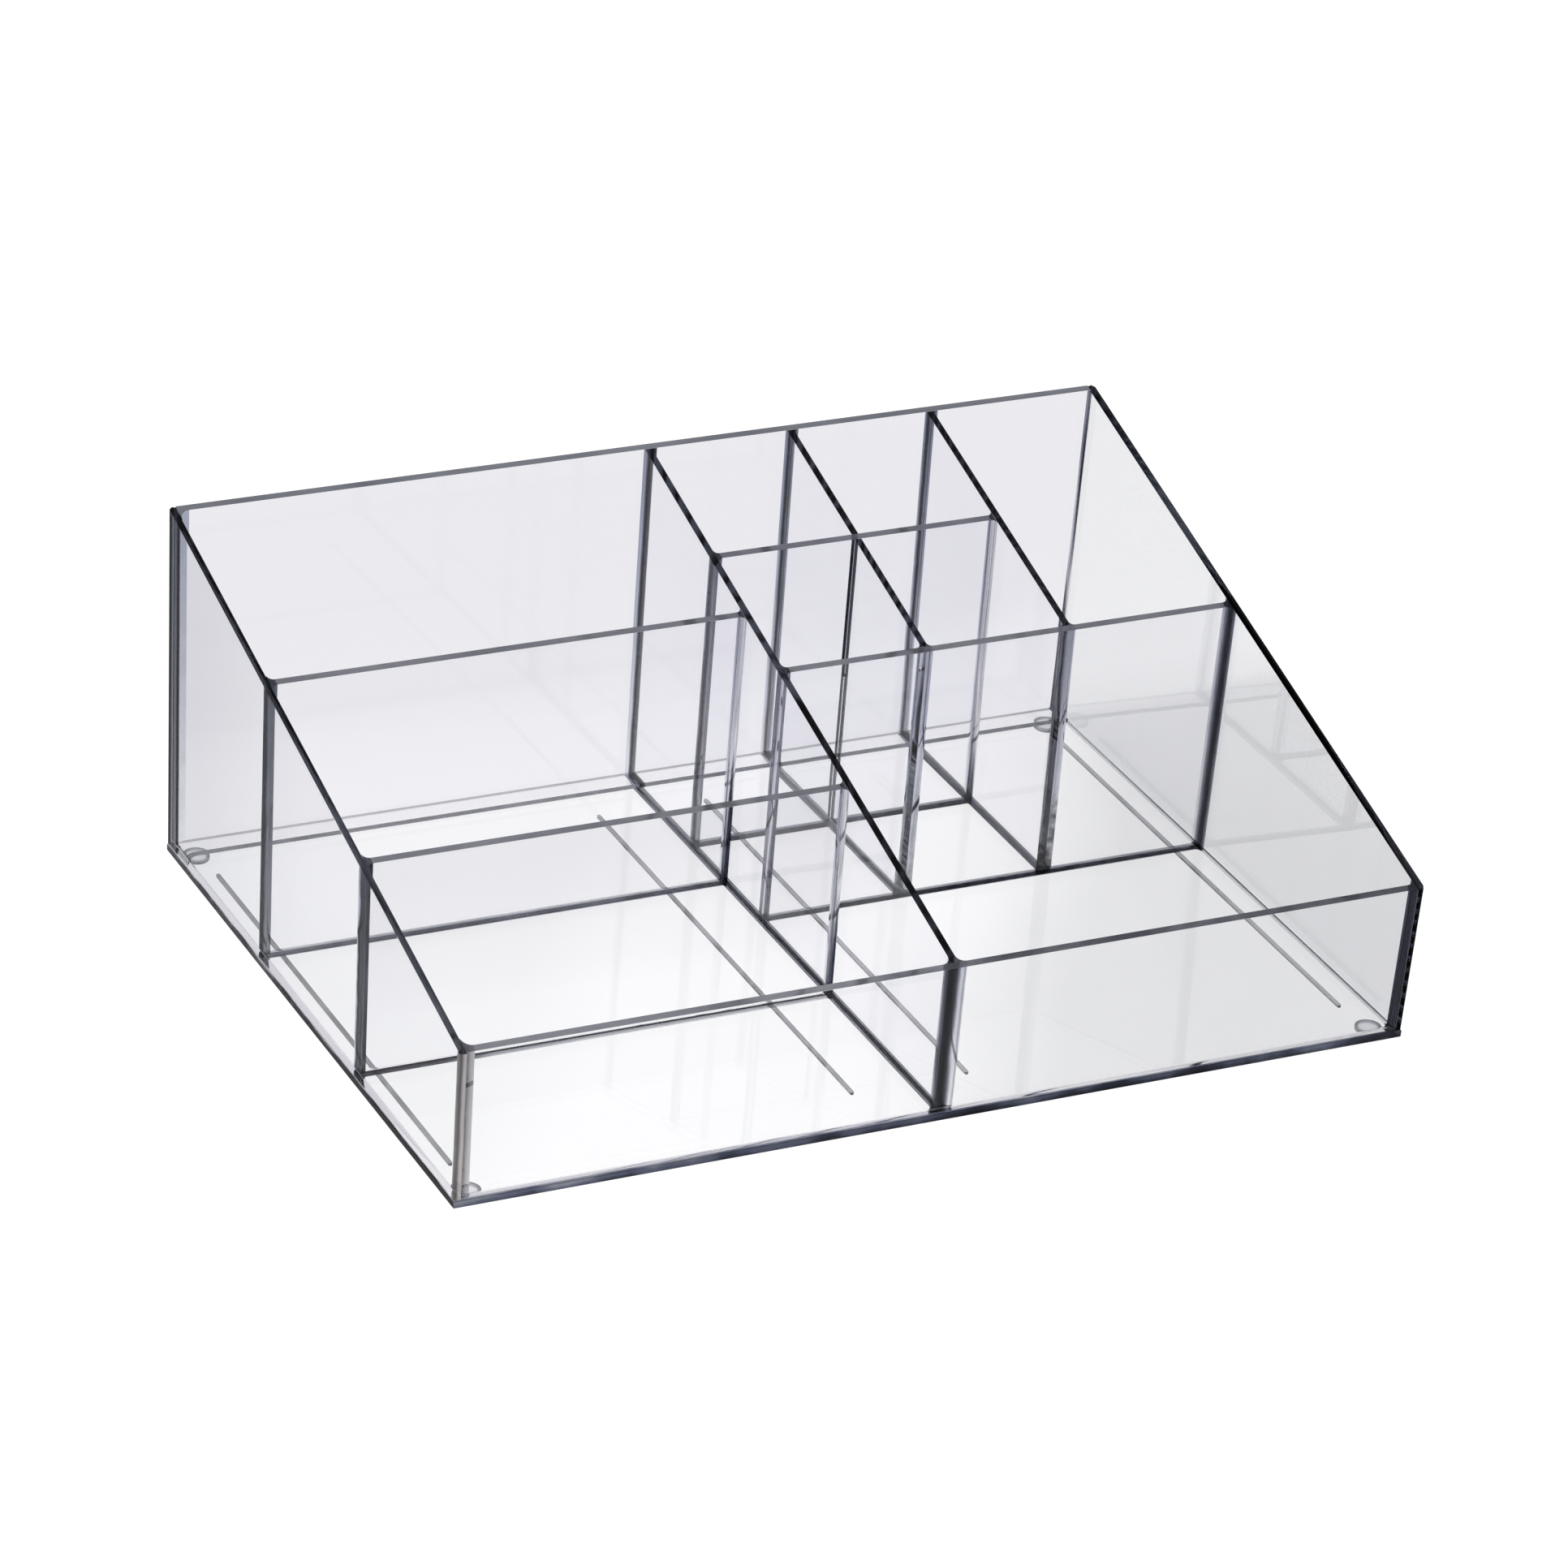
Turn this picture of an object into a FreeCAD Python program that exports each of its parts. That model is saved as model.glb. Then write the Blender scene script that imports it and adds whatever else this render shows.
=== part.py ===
import FreeCAD, Part
import os
import Sketcher

# Clear vanity organizer with nine open compartments under one sloping rim plane.
#
# Frame: +X right, +Y to the back, +Z up, millimetres. The origin is at the middle of the outline, on the surface
# that the feet stand on. Twelve clear panels are bonded to each other: a floor with locating grooves, four leaning
# outer walls, and seven upright dividers whose lower edges sit in the grooves. Under the floor are four bonded
# runner strips and four round bumper feet.

doc = FreeCAD.newDocument("VanityOrganizer")

# ---------------------------------------------------------------- driving dimensions
DIMENSIONS = [
    ("base_width", 302.2),         # outside, at the underside of the floor
    ("base_depth", 218.4),
    ("wall_thickness", 2.2),
    ("floor_thickness", 2.6),
    ("foot_height", 1.2),
    ("front_height", 50.1),        # outer front rim above the underside of the floor
    ("back_height", 113.6),        # outer back rim above the underside of the floor
    ("side_lean", 0.0230),         # outward run of the side walls for each mm of height
    ("end_lean", 0.0160),          # outward run of the front and back walls for each mm of height
    ("centre_x", 0.0),             # middle of the divider between the two halves
    ("brush_left_x", 47.7),        # middle of the first brush divider
    ("brush_right_x", 95.4),       # middle of the second brush divider
    ("step_front_y", 72.7),        # dividers along the depth, from the outer front edge of the floor
    ("step_rear_y", 145.1),
    ("brush_front_y", 120.5),
    ("brush_cross_y", 169.9),
    ("groove_depth", 0.8),         # locating grooves in the floor
    ("groove_play", 0.05),         # each side of a divider in its groove, and in the half-lap
    ("lap_height", 53.0),          # where the two halves of the cross-lap meet, above the floor's underside
    ("runner_width", 1.2),
    ("runner_height", 0.8),
    ("runner_length", 177.0),
    ("runner_outer_x", 142.2),
    ("runner_inner_x", 18.4),
    ("runner_middle_y", 109.6),    # from the outer front edge of the floor
    ("foot_radius", 4.0),
    ("foot_crown", 0.4),           # rounding round a foot's lower edge
    ("foot_x", 144.0),
    ("foot_inset_y", 7.6),         # from the floor's front and back edges
]
sheet = doc.addObject("Spreadsheet::Sheet", "Params")
for row, (alias, value) in enumerate(DIMENSIONS, start=1):
    sheet.set("A%d" % row, alias)
    sheet.set("B%d" % row, repr(float(value)))
    sheet.setAlias("B%d" % row, alias)
doc.recompute()


def P(name):
    return "Params." + name


# ---------------------------------------------------------------- shared expressions
FOOT = P("foot_height")
FLOOR_TOP = "(%s + %s)" % (P("foot_height"), P("floor_thickness"))
GROOVE_Z = "(%s - %s)" % (FLOOR_TOP, P("groove_depth"))
LID_Z = "(%s + %s + 30)" % (FOOT, P("back_height"))  # blanks are made this tall, then trimmed to the rim plane
WALL = P("wall_thickness")
HALF = "(%s / 2)" % P("wall_thickness")
FRONT = "(-(%s + %s * (%s - %s)) / 2)" % (P("base_depth"), P("end_lean"), P("back_height"), P("front_height"))
RIM_FRONT = "(%s - %s * %s)" % (FRONT, P("end_lean"), P("front_height"))
RIM_BACK = "(%s + %s + %s * %s)" % (FRONT, P("base_depth"), P("end_lean"), P("back_height"))
RISE = "((%s - %s) / (%s - %s))" % (P("back_height"), P("front_height"), RIM_BACK, RIM_FRONT)


def outer_x(z):
    """Half the outside width at height z."""
    return "(%s / 2 + %s * (%s - %s))" % (P("base_width"), P("side_lean"), z, FOOT)


def inner_x(z):
    return "(%s - %s)" % (outer_x(z), WALL)


def front_outer(z):
    return "(%s - %s * (%s - %s))" % (FRONT, P("end_lean"), z, FOOT)


def front_inner(z):
    return "(%s + %s)" % (front_outer(z), WALL)


def back_outer(z):
    return "(%s + %s + %s * (%s - %s))" % (FRONT, P("base_depth"), P("end_lean"), z, FOOT)


def back_inner(z):
    return "(%s - %s)" % (back_outer(z), WALL)


def y_at(alias):
    """A depth given from the floor's front edge, in the part's frame."""
    return "(%s + %s)" % (FRONT, P(alias))


UPRIGHT = FreeCAD.Rotation(FreeCAD.Vector(1, 0, 0), 90)


def blank(name, z0, z1, x_low, x_high, y_low, y_high):
    """A four-sided block between two heights; each side is a function of the height, so walls can lean."""
    w = doc.addObject("Part::Wedge", name)
    w.Placement = FreeCAD.Placement(FreeCAD.Vector(0, 0, 0), UPRIGHT)
    w.setExpression("Ymin", z0)
    w.setExpression("Ymax", z1)
    w.setExpression("Xmin", x_low(z0))
    w.setExpression("Xmax", x_high(z0))
    w.setExpression("X2min", x_low(z1))
    w.setExpression("X2max", x_high(z1))
    w.setExpression("Zmin", "-%s" % y_high(z0))
    w.setExpression("Zmax", "-%s" % y_low(z0))
    w.setExpression("Z2min", "-%s" % y_high(z1))
    w.setExpression("Z2max", "-%s" % y_low(z1))
    return w


def fixed(text):
    return lambda z: "(%s)" % text


def box(name, x0, x1, y0, y1, z0, z1):
    """An upright block with plain limits, as a cutter."""
    b = doc.addObject("Part::Box", name)
    b.setExpression("Length", "%s - %s" % (x1, x0))
    b.setExpression("Width", "%s - %s" % (y1, y0))
    b.setExpression("Height", "%s - %s" % (z1, z0))
    b.setExpression(".Placement.Base.x", x0)
    b.setExpression(".Placement.Base.y", y0)
    b.setExpression(".Placement.Base.z", z0)
    return b


def cut(name, base, tool):
    c = doc.addObject("Part::Cut", name)
    c.Base = base
    c.Tool = tool
    return c


# The rim plane: everything above it is trimmed away, so all rims lie in one slope.
rim = doc.addObject("Part::Wedge", "rim_trim")
rim.setExpression("Xmin", "-%s" % P("base_width"))
rim.setExpression("Xmax", P("base_width"))
rim.setExpression("X2min", "-%s" % P("base_width"))
rim.setExpression("X2max", P("base_width"))
rim.setExpression("Ymin", "%s - 20" % RIM_FRONT)
rim.setExpression("Ymax", "%s + 20" % RIM_BACK)
rim.setExpression("Zmin", "%s + %s - 20 * %s" % (FOOT, P("front_height"), RISE))
rim.setExpression("Zmax", "%s + %s + 60" % (FOOT, P("back_height")))
rim.setExpression("Z2min", "%s + %s + 20 * %s" % (FOOT, P("back_height"), RISE))
rim.setExpression("Z2max", "%s + %s + 60" % (FOOT, P("back_height")))

SUBPARTS = []


def finish(obj, label):
    obj.Label = label
    SUBPARTS.append(obj)
    return obj


def near(x):
    return "(%s - %s)" % (x, HALF)


def far(x):
    return "(%s + %s)" % (x, HALF)


# ---------------------------------------------------------------- outer walls, standing on the floor
finish(cut("left_side_cut", blank("left_side_blank", FLOOR_TOP, LID_Z,
                                  lambda z: "-%s" % outer_x(z), lambda z: "-%s" % inner_x(z),
                                  front_outer, back_outer), rim), "left_side_panel")
finish(cut("right_side_cut", blank("right_side_blank", FLOOR_TOP, LID_Z, inner_x, outer_x,
                                   front_outer, back_outer), rim), "right_side_panel")
finish(cut("back_cut", blank("back_blank", FLOOR_TOP, LID_Z, lambda z: "-%s" % inner_x(z), inner_x,
                             back_inner, back_outer), rim), "back_panel")
finish(cut("front_cut", blank("front_blank", FLOOR_TOP, LID_Z, lambda z: "-%s" % inner_x(z), inner_x,
                              front_outer, front_inner), rim), "front_panel")

# ---------------------------------------------------------------- dividers, with their lower edges in the grooves
CENTRE = P("centre_x")
BRUSH_L = P("brush_left_x")
BRUSH_R = P("brush_right_x")
STEP_F = y_at("step_front_y")
STEP_R = y_at("step_rear_y")
BRUSH_F = y_at("brush_front_y")
BRUSH_C = y_at("brush_cross_y")

finish(cut("centre_cut", blank("centre_blank", GROOVE_Z, LID_Z, fixed(near(CENTRE)), fixed(far(CENTRE)),
                               front_inner, back_inner), rim), "centre_divider")
finish(cut("step_rear_cut", blank("step_rear_blank", GROOVE_Z, LID_Z, lambda z: "-%s" % inner_x(z),
                                  fixed(near(CENTRE)), fixed(near(STEP_R)), fixed(far(STEP_R))), rim), "rear_step_divider")
finish(cut("step_front_cut", blank("step_front_blank", GROOVE_Z, LID_Z, lambda z: "-%s" % inner_x(z),
                                   fixed(near(CENTRE)), fixed(near(STEP_F)), fixed(far(STEP_F))), rim), "front_step_divider")
finish(cut("brush_front_cut", blank("brush_front_blank", GROOVE_Z, LID_Z, fixed(far(CENTRE)), inner_x,
                                    fixed(near(BRUSH_F)), fixed(far(BRUSH_F))), rim), "brush_front_panel")
finish(cut("brush_right_cut", blank("brush_right_blank", GROOVE_Z, LID_Z, fixed(near(BRUSH_R)), fixed(far(BRUSH_R)),
                                    fixed(far(BRUSH_F)), back_inner), rim), "right_brush_divider")

# The left brush divider and the cross divider pass through each other in a half-lap: the first is slotted from
# the rim down, the second from its lower edge up.
LAP_Z = "(%s + %s)" % (FOOT, P("lap_height"))
PLAY = P("groove_play")
lap_top = box("lap_slot_top", "%s - 5" % near(BRUSH_L), "%s + 5" % far(BRUSH_L),
              "%s - %s" % (near(BRUSH_C), PLAY), "%s + %s" % (far(BRUSH_C), PLAY), LAP_Z, "%s + 10" % LID_Z)
lap_low = box("lap_slot_low", "%s - %s" % (near(BRUSH_L), PLAY), "%s + %s" % (far(BRUSH_L), PLAY),
              "%s - 5" % near(BRUSH_C), "%s + 5" % far(BRUSH_C), "%s - 5" % GROOVE_Z, LAP_Z)
finish(cut("brush_left_slotted", cut("brush_left_cut", blank("brush_left_blank", GROOVE_Z, LID_Z,
           fixed(near(BRUSH_L)), fixed(far(BRUSH_L)), fixed(far(BRUSH_F)), back_inner), rim), lap_top), "left_brush_divider")
finish(cut("brush_cross_slotted", cut("brush_cross_cut", blank("brush_cross_blank", GROOVE_Z, LID_Z,
           fixed(far(CENTRE)), fixed(near(BRUSH_R)), fixed(near(BRUSH_C)), fixed(far(BRUSH_C))), rim), lap_low), "brush_cross_divider")

# ---------------------------------------------------------------- floor, with a groove for every divider
floor_blank = blank("floor_blank", FOOT, FLOOR_TOP, lambda z: "-%s" % outer_x(z), outer_x, front_outer, back_outer)
GTOP = "(%s + 3)" % FLOOR_TOP
grow = lambda e: "(%s + %s)" % (e, PLAY)
shrink = lambda e: "(%s - %s)" % (e, PLAY)
grooves = [
    box("groove_centre", shrink(near(CENTRE)), grow(far(CENTRE)), front_inner(FLOOR_TOP), back_inner(FLOOR_TOP), GROOVE_Z, GTOP),
    box("groove_step_rear", "-%s" % inner_x(FLOOR_TOP), near(CENTRE), shrink(near(STEP_R)), grow(far(STEP_R)), GROOVE_Z, GTOP),
    box("groove_step_front", "-%s" % inner_x(FLOOR_TOP), near(CENTRE), shrink(near(STEP_F)), grow(far(STEP_F)), GROOVE_Z, GTOP),
    box("groove_brush_front", far(CENTRE), inner_x(FLOOR_TOP), shrink(near(BRUSH_F)), grow(far(BRUSH_F)), GROOVE_Z, GTOP),
    box("groove_brush_left", shrink(near(BRUSH_L)), grow(far(BRUSH_L)), far(BRUSH_F), back_inner(FLOOR_TOP), GROOVE_Z, GTOP),
    box("groove_brush_right", shrink(near(BRUSH_R)), grow(far(BRUSH_R)), far(BRUSH_F), back_inner(FLOOR_TOP), GROOVE_Z, GTOP),
    box("groove_brush_cross", far(CENTRE), near(BRUSH_R), shrink(near(BRUSH_C)), grow(far(BRUSH_C)), GROOVE_Z, GTOP),
]
groove_set = doc.addObject("Part::MultiFuse", "groove_set")
groove_set.Shapes = grooves
finish(cut("floor_grooved", floor_blank, groove_set), "floor_panel")
doc.recompute()


# ---------------------------------------------------------------- runner strips under the floor
def plane(body, role):
    return [f for f in body.Origin.OriginFeatures if f.Role == role][0]


def runner(label, x):
    """A round-ended strip bonded under the floor, front to back."""
    body = doc.addObject("PartDesign::Body", "runner_body_" + label)
    sk = body.newObject("Sketcher::SketchObject", "runner_outline_" + label)
    sk.AttachmentSupport = [(plane(body, "XY_Plane"), "")]
    sk.MapMode = "FlatFace"
    r, y = 0.6, 87.9
    V = FreeCAD.Vector
    sk.addGeometry(Part.LineSegment(V(r, -y, 0), V(r, y, 0)))
    sk.addGeometry(Part.ArcOfCircle(Part.Circle(V(0, y, 0), V(0, 0, 1), r), 0, 3.141592653589793))
    sk.addGeometry(Part.LineSegment(V(-r, y, 0), V(-r, -y, 0)))
    sk.addGeometry(Part.ArcOfCircle(Part.Circle(V(0, -y, 0), V(0, 0, 1), r), 3.141592653589793, 6.283185307179586))
    for a, ea, b, eb in ((0, 2, 1, 1), (1, 2, 2, 1), (2, 2, 3, 1), (3, 2, 0, 1)):
        sk.addConstraint(Sketcher.Constraint("Tangent", a, ea, b, eb))
    sk.addConstraint(Sketcher.Constraint("Symmetric", 1, 3, 3, 3, -1, 1))
    sk.addConstraint(Sketcher.Constraint("PointOnObject", 1, 3, -2))
    sk.addConstraint(Sketcher.Constraint("Vertical", 0))
    width = sk.addConstraint(Sketcher.Constraint("DistanceX", 2, 2, 0, 1, 2 * r))
    length = sk.addConstraint(Sketcher.Constraint("DistanceY", 3, 3, 1, 3, 2 * y))
    sk.setExpression("Constraints[%d]" % width, P("runner_width"))
    sk.setExpression("Constraints[%d]" % length, "%s - %s" % (P("runner_length"), P("runner_width")))
    pad = body.newObject("PartDesign::Pad", "runner_pad_" + label)
    pad.Profile = sk
    pad.setExpression("Length", P("runner_height"))
    doc.recompute()
    body.setExpression(".Placement.Base.x", x)
    body.setExpression(".Placement.Base.y", y_at("runner_middle_y"))
    body.setExpression(".Placement.Base.z", "%s - %s" % (FOOT, P("runner_height")))
    return finish(body, label)


runner("left_outer_runner", "-%s" % P("runner_outer_x"))
runner("left_inner_runner", "-%s" % P("runner_inner_x"))
runner("right_inner_runner", P("runner_inner_x"))
runner("right_outer_runner", P("runner_outer_x"))


# ---------------------------------------------------------------- round bumper feet at the corners
def foot(label, x, y):
    """A turned disc with a rounded lower edge, flat where it meets the floor and the table."""
    body = doc.addObject("PartDesign::Body", "foot_body_" + label)
    sk = body.newObject("Sketcher::SketchObject", "foot_profile_" + label)
    sk.AttachmentSupport = [(plane(body, "XZ_Plane"), "")]
    sk.MapMode = "FlatFace"
    V = FreeCAD.Vector
    R, H, c = 4.0, 1.2, 0.4
    sk.addGeometry(Part.LineSegment(V(0, 0, 0), V(R - c, 0, 0)))
    sk.addGeometry(Part.ArcOfCircle(Part.Circle(V(R - c, c, 0), V(0, 0, 1), c), 4.71238898038469, 6.283185307179586))
    sk.addGeometry(Part.LineSegment(V(R, c, 0), V(R, H, 0)))
    sk.addGeometry(Part.LineSegment(V(R, H, 0), V(0, H, 0)))
    sk.addGeometry(Part.LineSegment(V(0, H, 0), V(0, 0, 0)))
    for a, ea, b, eb in ((0, 2, 1, 1), (1, 2, 2, 1)):
        sk.addConstraint(Sketcher.Constraint("Tangent", a, ea, b, eb))
    for a, ea, b, eb in ((2, 2, 3, 1), (3, 2, 4, 1), (4, 2, 0, 1)):
        sk.addConstraint(Sketcher.Constraint("Coincident", a, ea, b, eb))
    sk.addConstraint(Sketcher.Constraint("Coincident", 0, 1, -1, 1))
    sk.addConstraint(Sketcher.Constraint("Horizontal", 0))
    sk.addConstraint(Sketcher.Constraint("Vertical", 2))
    sk.addConstraint(Sketcher.Constraint("Horizontal", 3))
    sk.addConstraint(Sketcher.Constraint("Vertical", 4))
    rad = sk.addConstraint(Sketcher.Constraint("Radius", 1, c))
    wide = sk.addConstraint(Sketcher.Constraint("DistanceX", 3, 2, 3, 1, R))
    tall = sk.addConstraint(Sketcher.Constraint("DistanceY", 4, 2, 4, 1, H))
    sk.setExpression("Constraints[%d]" % rad, P("foot_crown"))
    sk.setExpression("Constraints[%d]" % wide, P("foot_radius"))
    sk.setExpression("Constraints[%d]" % tall, P("foot_height"))
    turn = body.newObject("PartDesign::Revolution", "foot_turn_" + label)
    turn.Profile = sk
    turn.ReferenceAxis = (sk, ["V_Axis"])
    turn.Angle = 360
    doc.recompute()
    body.setExpression(".Placement.Base.x", x)
    body.setExpression(".Placement.Base.y", y)
    return finish(body, label)


FOOT_F = "(%s + %s)" % (FRONT, P("foot_inset_y"))
FOOT_B = "(%s + %s - %s)" % (FRONT, P("base_depth"), P("foot_inset_y"))
foot("front_left_foot", "-%s" % P("foot_x"), FOOT_F)
foot("front_right_foot", P("foot_x"), FOOT_F)
foot("back_left_foot", "-%s" % P("foot_x"), FOOT_B)
foot("back_right_foot", P("foot_x"), FOOT_B)
doc.recompute()

# ---------------------------------------------------------------- check every object, then write the sub-parts
for o in doc.Objects:
    if "Invalid" in o.State or "Error" in o.State:
        raise RuntimeError("%s failed: %s" % (o.Name, o.State))
os.makedirs("parts", exist_ok=True)
for old in os.listdir("parts"):
    if old.endswith(".step"):
        os.remove(os.path.join("parts", old))
for o in SUBPARTS:
    s = o.Shape
    if s.isNull() or not s.isValid() or len(s.Solids) != 1 or s.Volume <= 0:
        raise RuntimeError("%s has a bad shape" % o.Label)
for o in SUBPARTS:
    o.Shape.exportStep(os.path.join("parts", o.Label + ".step"))
    b = o.Shape.BoundBox
    print("%-22s vol %9.1f  x %.2f..%.2f  y %.2f..%.2f  z %.2f..%.2f" % (
        o.Label, o.Shape.Volume, b.XMin, b.XMax, b.YMin, b.YMax, b.ZMin, b.ZMax))
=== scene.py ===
import math

import bmesh
import bpy
from mathutils import Matrix, Vector


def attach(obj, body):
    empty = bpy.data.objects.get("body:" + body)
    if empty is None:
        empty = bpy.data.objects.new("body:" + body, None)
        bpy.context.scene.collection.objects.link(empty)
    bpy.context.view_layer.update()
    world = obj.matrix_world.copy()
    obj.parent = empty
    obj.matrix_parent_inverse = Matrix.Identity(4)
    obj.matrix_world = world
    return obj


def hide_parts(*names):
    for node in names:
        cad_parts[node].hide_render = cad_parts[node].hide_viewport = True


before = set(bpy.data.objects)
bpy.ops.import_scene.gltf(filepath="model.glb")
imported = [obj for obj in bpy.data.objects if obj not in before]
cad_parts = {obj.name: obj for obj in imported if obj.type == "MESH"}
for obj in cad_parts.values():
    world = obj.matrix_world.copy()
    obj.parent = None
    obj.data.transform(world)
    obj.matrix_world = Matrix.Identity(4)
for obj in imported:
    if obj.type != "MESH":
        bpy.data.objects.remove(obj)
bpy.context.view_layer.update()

MM = 0.001

# ------------------------------------------------------------------ the organizer's dimensions, in millimetres
BASE_W, BASE_D = 302.2, 218.4
WALL, FLOOR_T, FOOT_H = 2.2, 2.6, 1.2
FRONT_H, BACK_H = 50.1, 113.6
SIDE_LEAN, END_LEAN = 0.0230, 0.0160
CENTRE_X, BRUSH_LX, BRUSH_RX = 0.0, 47.7, 95.4
GROOVE = 0.8
LAP_Z = 53.0
FRONT_Y = -(BASE_D + END_LEAN * (BACK_H - FRONT_H)) / 2
BACK_Y = FRONT_Y + BASE_D
STEP_FY, STEP_RY = FRONT_Y + 72.7, FRONT_Y + 145.1
BRUSH_FY, BRUSH_CY = FRONT_Y + 120.5, FRONT_Y + 169.9
RIM_FRONT = FRONT_Y - END_LEAN * FRONT_H
RIM_BACK = BACK_Y + END_LEAN * BACK_H
RISE = (BACK_H - FRONT_H) / (RIM_BACK - RIM_FRONT)
XI = BASE_W / 2 - WALL      # inner faces of the outer walls, at the underside of the floor
YFI, YBI = FRONT_Y + WALL, BACK_Y - WALL

GAP = 0.03          # cement line between neighbouring pieces
FOOT = 1.0          # foot fillet of the dividers and of the front and side walls
LEDGE_W, LEDGE_H = 8.0, 1.3    # low ledge along the foot of the back wall
LEDGE = "ledge"
RIM_ROUND = 0.45    # rounding along the rims
HALF = WALL / 2

# ------------------------------------------------------------------ materials
CLEAR, RIM, END_A, UNDER, END_B, CAP, FLARE_A, FLARE_B, SOLE, FAR = range(10)


def node(nt, kind, **settings):
    n = nt.nodes.new(kind)
    for k, v in settings.items():
        setattr(n, k, v)
    return n


def plastic(name, stops, rough, scale, ior, weight=1.0, stretch=None, drift=None, band=None, shade=None,
            wave=0.0, detail=3.0, ring=False):
    """Clear moulded plastic. Its base colour follows a soft noise (stretched along the height for streaks), which may
    drift along a direction, or it runs in bands across a direction, ruffled by the noise; most materials made with it
    use this colour to paint shade and light, as dark and pale lines and greys. Its polish varies with the same noise,
    and wave makes the faces very slightly uneven."""
    m = bpy.data.materials.new(name)
    m.use_nodes = True
    nt = m.node_tree
    out = nt.nodes["Material Output"]
    p = nt.nodes["Principled BSDF"]
    p.inputs["Transmission Weight"].default_value = weight
    p.inputs["IOR"].default_value = ior
    where = node(nt, "ShaderNodeTexCoord")
    place = where.outputs["Object"]
    if stretch:
        squeeze = node(nt, "ShaderNodeMapping")
        squeeze.inputs["Scale"].default_value = stretch
        nt.links.new(place, squeeze.inputs["Vector"])
        place = squeeze.outputs["Vector"]
    cloud = node(nt, "ShaderNodeTexNoise")
    cloud.inputs["Scale"].default_value = scale
    cloud.inputs["Detail"].default_value = detail
    nt.links.new(place, cloud.inputs["Vector"])
    tone = cloud.outputs["Fac"]
    if drift or band:
        way, start, end, first, last = drift or (*band[:3], 0.0, 1.0)
        measure = node(nt, "ShaderNodeVectorMath", operation="DOT_PRODUCT")
        measure.inputs[1].default_value = way
        nt.links.new(where.outputs["Object"], measure.inputs[0])
        slope = node(nt, "ShaderNodeMapRange")
        slope.inputs["From Min"].default_value = start * MM
        slope.inputs["From Max"].default_value = end * MM
        slope.inputs["To Min"].default_value = first
        slope.inputs["To Max"].default_value = last
        nt.links.new(measure.outputs["Value"], slope.inputs["Value"])
        if band:
            ruffle = node(nt, "ShaderNodeMapRange")
            ruffle.inputs["From Min"].default_value = 0.3
            ruffle.inputs["From Max"].default_value = 0.7
            ruffle.inputs["To Min"].default_value = -band[3]
            ruffle.inputs["To Max"].default_value = band[3]
            nt.links.new(tone, ruffle.inputs["Value"])
            tone = ruffle.outputs["Result"]
        both = node(nt, "ShaderNodeMath", operation="ADD")
        nt.links.new(tone, both.inputs[0])
        nt.links.new(slope.outputs["Result"], both.inputs[1])
        tone = both.outputs["Value"]
    if ring:    # distance from the middle of a round piece
        middle = node(nt, "ShaderNodeMapping")
        middle.inputs["Location"].default_value = (-0.5, -0.5, 0.0)
        middle.inputs["Scale"].default_value = (1.0, 1.0, 0.0)
        nt.links.new(where.outputs["Generated"], middle.inputs["Vector"])
        away = node(nt, "ShaderNodeVectorMath", operation="LENGTH")
        nt.links.new(middle.outputs["Vector"], away.inputs[0])
        tone = away.outputs["Value"]
    ramp = node(nt, "ShaderNodeValToRGB")
    while len(ramp.color_ramp.elements) < len(stops):
        ramp.color_ramp.elements.new(0.5)
    for e, (pos, col) in zip(ramp.color_ramp.elements, stops):
        e.position = pos
    for e, (pos, col) in zip(ramp.color_ramp.elements, stops):
        e.color = (*col, 1.0)
    nt.links.new(tone, ramp.inputs["Fac"])
    colour = ramp.outputs["Color"]
    if shade:    # painted shade: darker towards the foot, in specks
        height = node(nt, "ShaderNodeSeparateXYZ")
        nt.links.new(where.outputs["Object"], height.inputs["Vector"])
        speck = node(nt, "ShaderNodeTexNoise")
        speck.inputs["Scale"].default_value = 300.0
        speck.inputs["Detail"].default_value = 1.0
        nt.links.new(where.outputs["Object"], speck.inputs["Vector"])
        lift = node(nt, "ShaderNodeMath", operation="MULTIPLY_ADD")
        lift.inputs[1].default_value = 40.0 * MM
        nt.links.new(speck.outputs["Fac"], lift.inputs[0])
        nt.links.new(height.outputs["Z"], lift.inputs[2])
        fade = node(nt, "ShaderNodeMapRange")
        fade.inputs["From Min"].default_value = (shade[0] + 20.0) * MM
        fade.inputs["From Max"].default_value = (shade[1] + 20.0) * MM
        fade.inputs["To Min"].default_value = shade[2]
        fade.inputs["To Max"].default_value = 1.0
        nt.links.new(lift.outputs["Value"], fade.inputs["Value"])
        dim = node(nt, "ShaderNodeMix", data_type="RGBA", blend_type="MULTIPLY")
        dim.inputs[0].default_value = 1.0
        nt.links.new(colour, dim.inputs[6])
        nt.links.new(fade.outputs["Result"], dim.inputs[7])
        colour = dim.outputs[2]
    nt.links.new(colour, p.inputs["Base Color"])
    polish = node(nt, "ShaderNodeMapRange")
    polish.inputs["From Min"].default_value = 0.3
    polish.inputs["From Max"].default_value = 0.7
    polish.inputs["To Min"].default_value = rough[0]
    polish.inputs["To Max"].default_value = rough[1]
    nt.links.new(cloud.outputs["Fac"], polish.inputs["Value"])
    nt.links.new(polish.outputs["Result"], p.inputs["Roughness"])
    if wave:
        swell = node(nt, "ShaderNodeTexNoise")
        swell.inputs["Scale"].default_value = 30.0
        swell.inputs["Detail"].default_value = 1.0
        nt.links.new(where.outputs["Object"], swell.inputs["Vector"])
        bump = node(nt, "ShaderNodeBump")
        bump.inputs["Strength"].default_value = wave
        bump.inputs["Distance"].default_value = 0.001
        nt.links.new(swell.outputs["Fac"], bump.inputs["Height"])
        nt.links.new(bump.outputs["Normal"], p.inputs["Normal"])
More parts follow.
